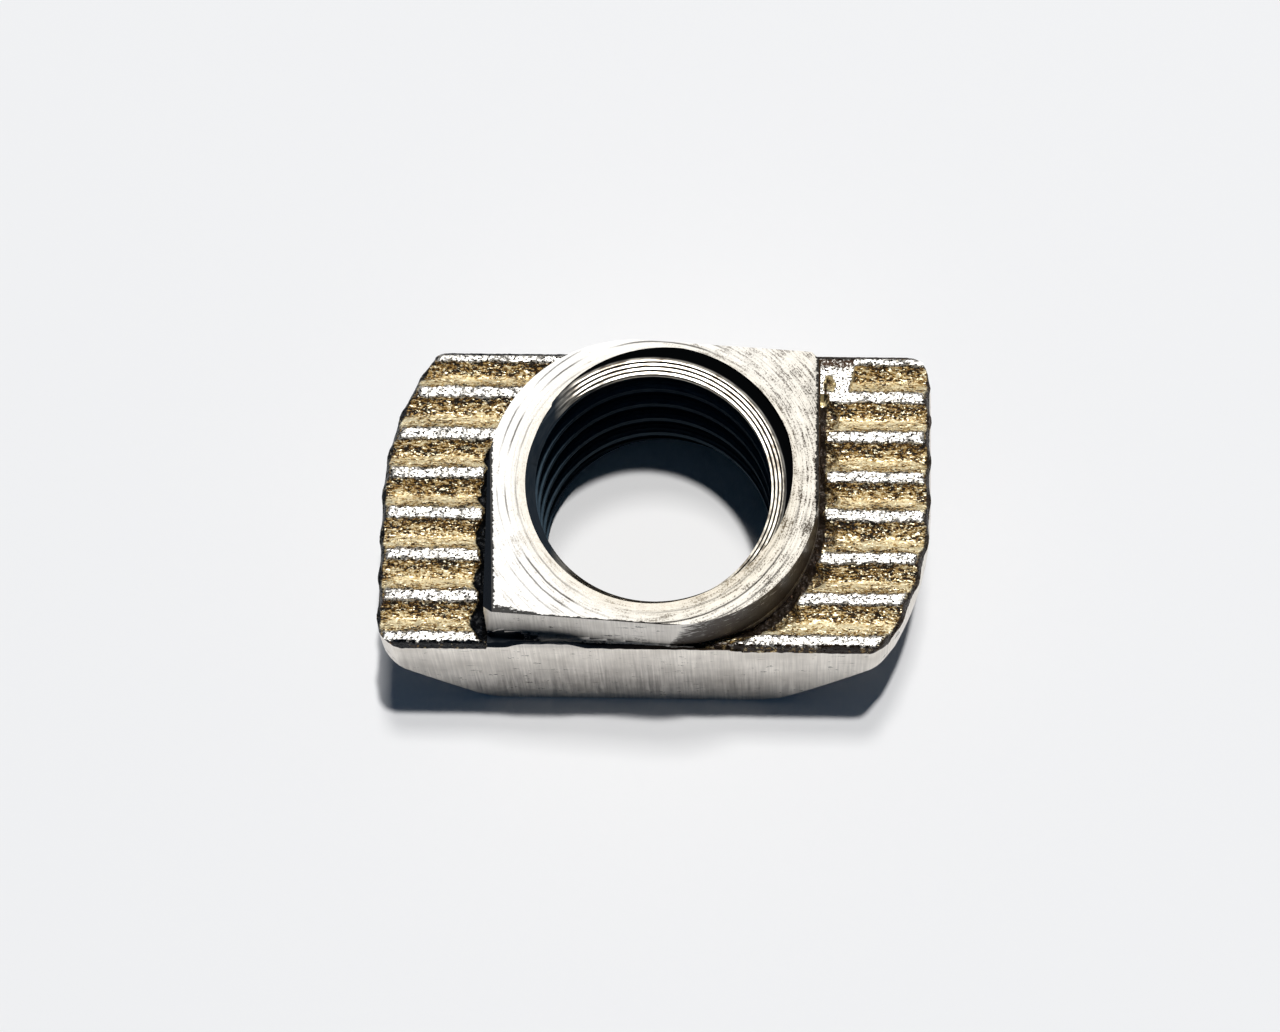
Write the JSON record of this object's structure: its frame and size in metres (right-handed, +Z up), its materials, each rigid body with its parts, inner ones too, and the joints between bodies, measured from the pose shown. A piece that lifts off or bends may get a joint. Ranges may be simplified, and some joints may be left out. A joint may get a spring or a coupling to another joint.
{
  "type": "drop-in t-nut",
  "caption": "Steel hammer-head nut that drops into a profile slot, turns a quarter and locks: tapped collar on a serrated head with bevelled underside.",
  "frame": {"origin": "centre of the underside, below the collar; the bore axis lies 0.05 mm off it along -Y", "axes": "+X along the head, +Y across the head, +Z up along the bore and out through the collar"},
  "size_m": [0.0098, 0.0056, 0.0046],
  "materials": {
    "nickel_plated_steel": "bright nickel plate over cold-formed carbon steel, machined on the collar top and in the bore, grainy in the serrations"
  },
  "bodies": {
    "root": {"nut_body": "nickel_plated_steel"}
  },
  "joints": []
}
